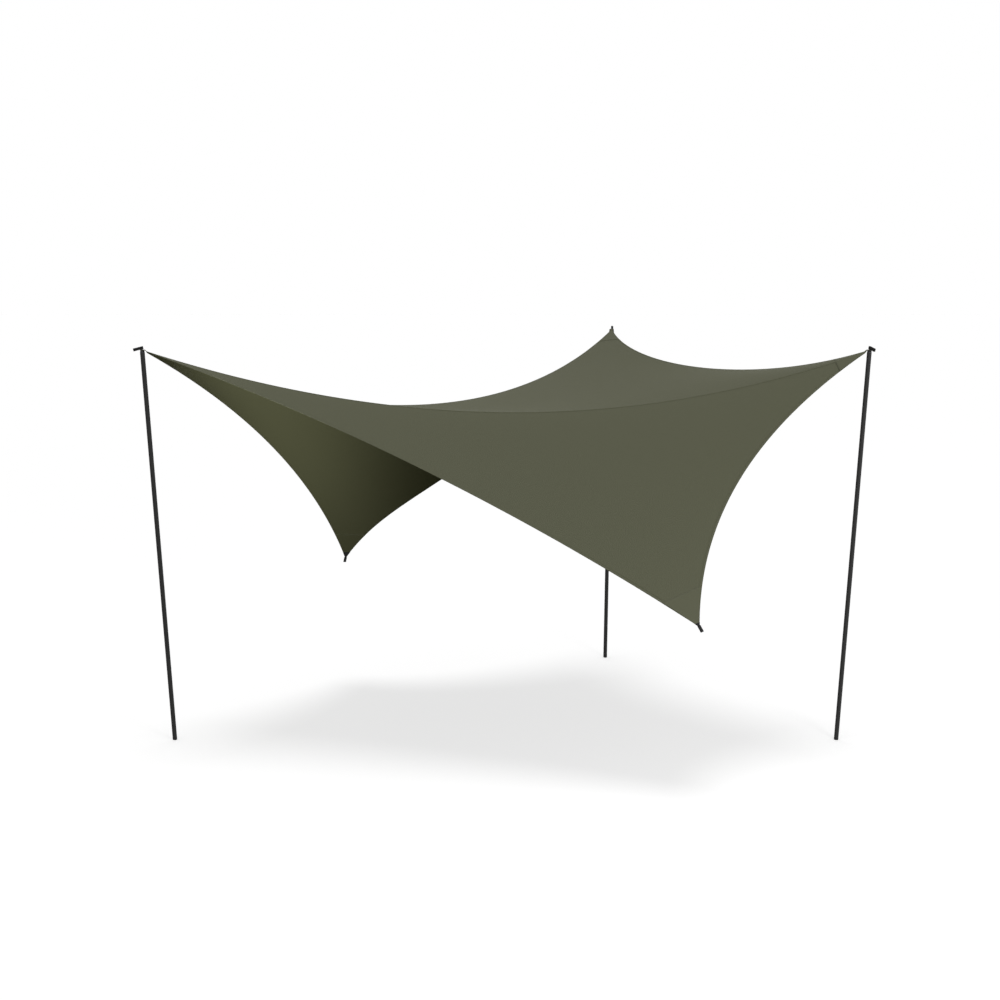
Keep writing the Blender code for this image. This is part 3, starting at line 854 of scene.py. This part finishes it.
def sew(name, paths, normals):
    """Raised stitches along paths: each a short arch of thread with its ends in the cloth."""
    thread = bpy.data.curves.new(name, "CURVE")
    thread.dimensions = "3D"
    thread.bevel_depth = STITCH_RADIUS
    thread.bevel_resolution = 1
    thread.use_fill_caps = True
    for path, ups in zip(paths, normals):
        distance = steps_along(path)
        for start in np.arange(STITCH_PITCH / 2, distance[-1] - STITCH_PITCH, STITCH_PITCH):
            along = start + np.linspace(0.0, STITCH_LENGTH, len(STITCH_ARCH))
            points, up = [np.stack([np.interp(along, distance, line[:, i]) for i in range(3)],
                                   axis=1) for line in (path, ups)]
            points += up * STITCH_ARCH
            spline = thread.splines.new("POLY")
            spline.points.add(len(STITCH_ARCH) - 1)
            spline.points.foreach_set("co", np.insert(points, 3, 1.0, axis=1).ravel())
    coil = bpy.data.objects.new(name, thread)
    bpy.context.scene.collection.objects.link(coil)
    mesh = as_shown(coil)
    bpy.data.objects.remove(coil, do_unlink=True)
    mesh.shade_smooth()
    add_piece(name, mesh, (THREAD,), "canopy", ())


def sew_patch(corner, rows):
    """Two rows of stitches along the patch's inner edge and one down each side."""
    ups = np.cross(np.gradient(rows, axis=1), np.gradient(rows, axis=0))
    ups *= math.copysign(1.0, ups[..., 2].mean()) / np.linalg.norm(ups, axis=2, keepdims=True)
    grid = np.concatenate([rows, ups], axis=2)
    lines = [(1 - share) * grid[0] + share * grid[1] for share in (0.25, 0.75)]
    wide = [row for row in grid if np.linalg.norm(row[-1, :3] - row[0, :3]) > NARROWEST_SEWN]
    for flip in (1, -1):
        side = [[np.interp(STITCH_INSET, steps_along(row[::flip, :3]), row[::flip, i])
                 for i in range(6)] for row in wide]
        lines.append(np.array(side))
    paths = [line[:, :3] + face * line[:, 3:] * PATCH_THICKNESS / 2
             for face in (1, -1) for line in lines]
    normals = [line[:, 3:] for line in lines] * 2
    sew("patch_stitching_" + corner, paths, normals)


def build_tail(corner, rows):
    """The sewn end of a low corner's loop: webbing folded over the tip of the cloth."""
    net = rows[-LOW_TAIL_ROWS[corner]:].copy()
    for end, beside in ((0, 1), (-1, -2)):
        for row in net:
            row[end] += TAIL_MARGIN * unit(row[end] - row[beside])
    bm = bmesh.new()
    run, across = net_measures(net)
    add_grid(bm, net, run, across)
    face_up(bm)
    piece = add_piece("webbing_tail_" + corner, take_mesh(bm, "webbing_tail_" + corner),
                      (WEBBING,), "canopy", ())
    thicken(piece, PATCH_THICKNESS + 2 * TAIL_MARGIN)


# Webbing, eyelets and poles

def stadium(length, inner):
    """Middle line of a webbing loop seen from its edge, closed, with its inner end at zero."""
    radius = inner + LOOP_THICKNESS / 2
    reach = length - 2 * (inner + LOOP_THICKNESS)
    points = []
    for centre, other, start in ((0.0, reach, 90), (reach, 0.0, -90)):
        for k in range(LOOP_END_STEPS + 1):
            angle = math.radians(start + 180 * k / LOOP_END_STEPS)
            points.append((centre + radius * math.cos(angle), radius * math.sin(angle)))
        x, y = points[-1]
        points += [(x + (other - x) * k / LOOP_LEG_STEPS, y) for k in range(1, LOOP_LEG_STEPS)]
    return points + points[:1]


def build_loop(corner, length, inner, matrix):
    """A closed loop of webbing, laid in the matrix's frame with its width along Z."""
    name = "guy_loop_" + corner
    path = np.array(stadium(length, inner))
    columns = np.linspace(-LOOP_WIDTH / 2, LOOP_WIDTH / 2, LOOP_COLUMNS)
    net = np.array([[np.array(matrix @ Vector((x, y, z))) for z in columns] for x, y in path])
    run = np.repeat(steps_along(path)[:, None], len(columns), axis=1)
    across = np.repeat(columns[None], len(path), axis=0)
    bm = bmesh.new()
    add_grid(bm, net, run, across)
    bmesh.ops.remove_doubles(bm, verts=bm.verts, dist=1e-6)
    piece = add_piece(name + "_webbing", take_mesh(bm, name), (WEBBING,),
                      "loop_" + corner, (name,))
    thicken(piece, LOOP_THICKNESS)
    round_edges(piece, LOOP_ROUNDING)


def pole_loop_frame(corner):
    """Round the spike, above the eyelet, drooping as it leaves the pole."""
    site = POLES[corner]
    heading = math.radians(POLE_LOOP_HEADINGS[corner])
    level = frame_at(site.tip, site.tip - site.foot, (math.cos(heading), math.sin(heading), 0.0))
    eyelet_top = PATCH_THICKNESS / 2 + GAP + EYELET_SHEET
    rise = eyelet_top + EYELET_FLANGE * math.tan(POLE_LOOP_DROOP) + GAP
    lift = Matrix.Translation((0.0, 0.0, rise + LOOP_WIDTH / 2))
    return level @ lift @ Matrix.Rotation(POLE_LOOP_DROOP, 4, "Y")


def low_loop_frame(corner):
    """At a hanging corner's tip, flat in the plane of the cloth there."""
    axis = CORNER_AXES[corner]
    first, last = [point_at(name, corner, PATCH_LENGTH) for name in FANS[corner]]
    width = unit(np.cross(np.cross(axis, last - first), axis))
    inset = LOW_PATCH_TIP - LOW_LOOP_INNER - LOOP_THICKNESS - GAP
    return frame_at(CORNERS[corner] - axis * inset, width, axis)


def build_eyelet(corner):
    """Two pressed rings with rolled rims, joined through the tongue by their barrel."""
    inner = PATCH_THICKNESS / 2
    outer = inner + GAP + EYELET_SHEET
    middle = (EYELET_FLANGE + EYELET_BORE) / 2
    half = (EYELET_FLANGE - EYELET_BORE) / 2
    arc = [(middle + half * math.cos(math.radians(degrees)),
            inner + (outer - inner) * math.sin(math.radians(degrees)) ** EYELET_FULLNESS)
           for degrees in range(0, 181, 20)]
    profile = arc + [(radius, -height) for radius, height in arc[::-1]]
    barrel = EYELET_BORE + EYELET_SHEET
    profile += [(EYELET_FLANGE, -inner), (barrel, -inner), (barrel, inner)]
    mesh = turned_mesh("eyelet_" + corner, profile, pole_frame(corner))
    add_piece("rolled_eyelet_" + corner, mesh, (EYELET_STEEL,), "canopy",
              ("eyelet_" + corner,))


def chamfered_tube(outer, bottom, top, chamfer):
    bore = outer - TUBE_WALL
    return [(outer - chamfer, top), (outer, top - chamfer), (outer, bottom + chamfer),
            (outer - chamfer, bottom), (bore + chamfer / 2, bottom), (bore, bottom + chamfer / 2),
            (bore, top - chamfer / 2), (bore + chamfer / 2, top)]


def build_pole(corner):
    """Foot, three push-fit tubes, two ferrules and the spike, up the pole's leaning axis."""
    site = POLES[corner]
    up = site.tip - site.foot
    place = frame_at(site.foot, up, (1.0, 0.0, 0.0))
    under = POLE_LENGTH - PATCH_THICKNESS / 2 - EYELET_SHEET - 2 * GAP
    bottom = FOOT_HEIGHT + GAP
    step = (under - SHOULDER_HEIGHT - bottom) / len(SECTIONS)
    plug = TUBE_RADIUS - TUBE_WALL - GAP

    def turn(name, profile, finish, body, node, slot, closed=True):
        mesh = turned_mesh(node, profile, place, closed=closed)
        add_piece(name, mesh, (finish,), body, (node,))

    for index, section in enumerate(SECTIONS):
        low = bottom + index * step
        turn(f"{section}_pole_tube_{corner}",
             chamfered_tube(TUBE_RADIUS, low, low + step - GAP, TUBE_CHAMFER),
             POLE_COAT, f"{section}_{corner}", f"{section}_tube_{corner}", "pole_paint")
    for index, (joint, below) in enumerate((("lower", "lower"), ("upper", "middle"))):
        top = bottom + (index + 1) * step + FERRULE_SHOWING
        turn(f"{joint}_swaged_ferrule_{corner}",
             chamfered_tube(plug, top - FERRULE_LENGTH, top, FERRULE_CHAMFER),
             FERRULE_STEEL, f"{below}_{corner}", f"{joint}_ferrule_{corner}", "ferrule_steel")
    tip = POLE_LENGTH + SPIKE_HEIGHT
    shoulder = under - SHOULDER_HEIGHT
    rim = shoulder + SHOULDER_RIM_HEIGHT
    angles = [math.radians(degrees) for degrees in range(0, 91, 15)]
    dome = [(SPIKE_RADIUS * math.sin(angle),
             tip - SPIKE_RADIUS * SPIKE_DOME * (1 - math.cos(angle))) for angle in angles]
    turn("shouldered_spike_" + corner,
         dome + [(SPIKE_RADIUS, under + SPIKE_FILLET), (SPIKE_RADIUS + SPIKE_FILLET, under),
                 (SHOULDER_TOP_RADIUS - SHOULDER_TOP_ROUND, under),
                 (SHOULDER_TOP_RADIUS, under - SHOULDER_TOP_ROUND),
                 (TUBE_RADIUS - SPIKE_FILLET, rim + SHOULDER_RIM_SLOPE), (TUBE_RADIUS, rim),
                 (TUBE_RADIUS, shoulder + SHOULDER_RIM_BREAK),
                 (TUBE_RADIUS - SHOULDER_RIM_BREAK, shoulder),
                 (plug, shoulder), (plug, shoulder - SPIKE_PLUG_DEPTH),
                 (0.0, shoulder - SPIKE_PLUG_DEPTH)],
         SPIKE_STEEL, "upper_" + corner, "spike_" + corner, "spike_steel", closed=False)
    build_foot(corner, place, plug)


def build_foot(corner, place, plug):
    """A ribbed rubber plug, cut flat on the ground whatever the pole's lean."""
    top = FOOT_HEIGHT + FOOT_PLUG_DEPTH
    groove = TUBE_RADIUS - RIB_ROUND
    profile = [(0.0, top), (plug - RIB_ROUND, top), (plug, top - RIB_ROUND), (plug, FOOT_HEIGHT)]
    for height in [FOOT_HEIGHT - RIB_PITCH * k for k in range(RIB_COUNT)]:
        profile += [(groove, height), (TUBE_RADIUS, height - RIB_ROUND),
                    (TUBE_RADIUS, height - 3 * RIB_ROUND), (groove, height - 4 * RIB_ROUND)]
    profile += [(TUBE_RADIUS, -TUBE_RADIUS / 2), (0.0, -TUBE_RADIUS / 2)]
    blank = turned_mesh("foot_" + corner, profile, place, closed=False)
    bm = bmesh.new()
    bm.from_mesh(blank)
    cut = bmesh.ops.bisect_plane(bm, geom=bm.verts[:] + bm.edges[:] + bm.faces[:], dist=1e-7,
                                 plane_co=(0, 0, 0), plane_no=(0, 0, -1), clear_outer=True)
    rim = [edge for edge in cut["geom_cut"] if isinstance(edge, bmesh.types.BMEdge)]
    bmesh.ops.edgeloop_fill(bm, edges=rim)
    bmesh.ops.recalc_face_normals(bm, faces=bm.faces)
    mesh = take_mesh(bm, "foot_" + corner)
    mesh.set_sharp_from_angle(angle=SHARP_ANGLE)
    add_piece("ribbed_foot_" + corner, mesh, (FOOT_RUBBER,), "lower_" + corner,
              ("foot_" + corner,))


# Surroundings

CAMERA_PLACE = (-0.0327, -7.7871, 2.9768)
CAMERA_PITCH = math.radians(11.14)
SKY_SHARE = 0.375
SUN_SHARE = 0.40
SUN_PLACE = (-0.12, 0.15, 6.0)
SUN_SPREAD = math.radians(20)
PANEL_PLACE = (4.0, -6.0, 2.2)
PANEL_AIM = (0.0, 0.3, 1.5)
PANEL_POWER = 158.0
PANEL_SIZE = 1.8
FILL_PLACE = (-2.2, -3.5, 0.3)
FILL_AIM = (-1.03, 0.6, 2.763)
FILL_POWER = 500.0
FILL_SHAPE = (0.191, 0.557, 1.0)
FILL_CONE = math.radians(90)
FILL_RADIUS = 0.2
FLOOR_REACH = 40.0
FLOOR_DIFFUSE = 0.50
FLOOR_BOUNCE = (0.09, 0.09, 0.035)


def add_camera():
    data = bpy.data.cameras.new("photo_camera")
    data.lens = 50.0
    data.sensor_width = 36.0
    camera = bpy.data.objects.new("photo_camera", data)
    bpy.context.scene.collection.objects.link(camera)
    camera.location = Vector(CAMERA_PLACE) + Vector(SHIFT)
    camera.rotation_euler = (math.pi / 2 - CAMERA_PITCH, 0.0, 0.0)
    bpy.context.scene.camera = camera


def add_lamp(name, kind, place, aim, power, scale=(1.0, 1.0, 1.0), **settings):
    """A lamp at a place, turned to its aim; a scale narrows the cone of a spot."""
    data = bpy.data.lights.new(name, kind)
    data.energy = power
    for key, value in settings.items():
        setattr(data, key, value)
    lamp = bpy.data.objects.new(name, data)
    bpy.context.scene.collection.objects.link(lamp)
    lamp.location = place
    lamp.rotation_euler = (Vector(aim) - Vector(place)).to_track_quat("-Z", "Y").to_euler()
    lamp.scale = scale


def add_world():
    """White where it is seen, and a plain level of soft light on the object."""
    world = bpy.data.worlds.new("white_studio")
    bpy.context.scene.world = world
    sky = Shade(world)
    background = sky.tree.nodes["Background"].inputs
    sky.feed(background["Color"], (1.0, 1.0, 1.0))
    sky.feed(background["Strength"], SKY_SHARE + (1 - SKY_SHARE) * sky.seen_directly())


def add_floor():
    """A pale floor that is white where it is lit and keeps the object's soft shadow."""
    bm = bmesh.new()
    bmesh.ops.create_grid(bm, x_segments=1, y_segments=1, size=FLOOR_REACH)
    mesh = take_mesh(bm, "studio_floor")
    floor = bpy.data.objects.new("studio_floor", mesh)
    bpy.context.scene.collection.objects.link(floor)
    finish = Finish("pale_floor", 1.0)
    shown = finish.seen_directly()
    finish.set("Base Color", finish.mix(shown, FLOOR_BOUNCE, (FLOOR_DIFFUSE,) * 3))
    finish.set("Specular IOR Level", 0.0)
    finish.set("Emission Color", finish.mix(shown, (0.0,) * 3, (1.0,) * 3))
    finish.set("Emission Strength", 1.0 - FLOOR_DIFFUSE * (SUN_SHARE + SKY_SHARE))
    mesh.materials.append(finish.owner)


# Assembly

scene = bpy.context.scene
scene.view_settings.view_transform = "Standard"

add_camera()
add_lamp("overhead_sun", "SUN", SUN_PLACE, (0.0, 0.0, 0.0), SUN_SHARE * math.pi,
         angle=SUN_SPREAD)
add_lamp("front_panel", "AREA", PANEL_PLACE, PANEL_AIM, PANEL_POWER, size=PANEL_SIZE)
add_lamp("low_fill", "SPOT", FILL_PLACE, FILL_AIM, FILL_POWER, FILL_SHAPE,
         spot_size=FILL_CONE, spot_blend=1.0, shadow_soft_size=FILL_RADIUS)
add_world()
add_floor()

cloth, cloth_area = build_cloth()
hems = [build_hem(line) for line in LINES if "edge" in line]
seams = [build_seam(line) for line in LINES if "fold" in line]
full_cloth = whole_cloth(0.0)
cloth_surface = BVHTree.FromBMesh(full_cloth)
full_cloth.free()
patches = {}
for corner in CORNERS:
    patches[corner], rows = build_patch(corner, cloth_surface)
    sew_patch(corner, rows)
    if corner in POLES:
        build_eyelet(corner)
        build_loop(corner, POLE_LOOP_LENGTH, SPIKE_RADIUS + SPIKE_GAP, pole_loop_frame(corner))
        build_pole(corner)
    else:
        build_loop(corner, LOW_LOOP_LENGTH, LOW_LOOP_INNER, low_loop_frame(corner))
        build_tail(corner, rows)
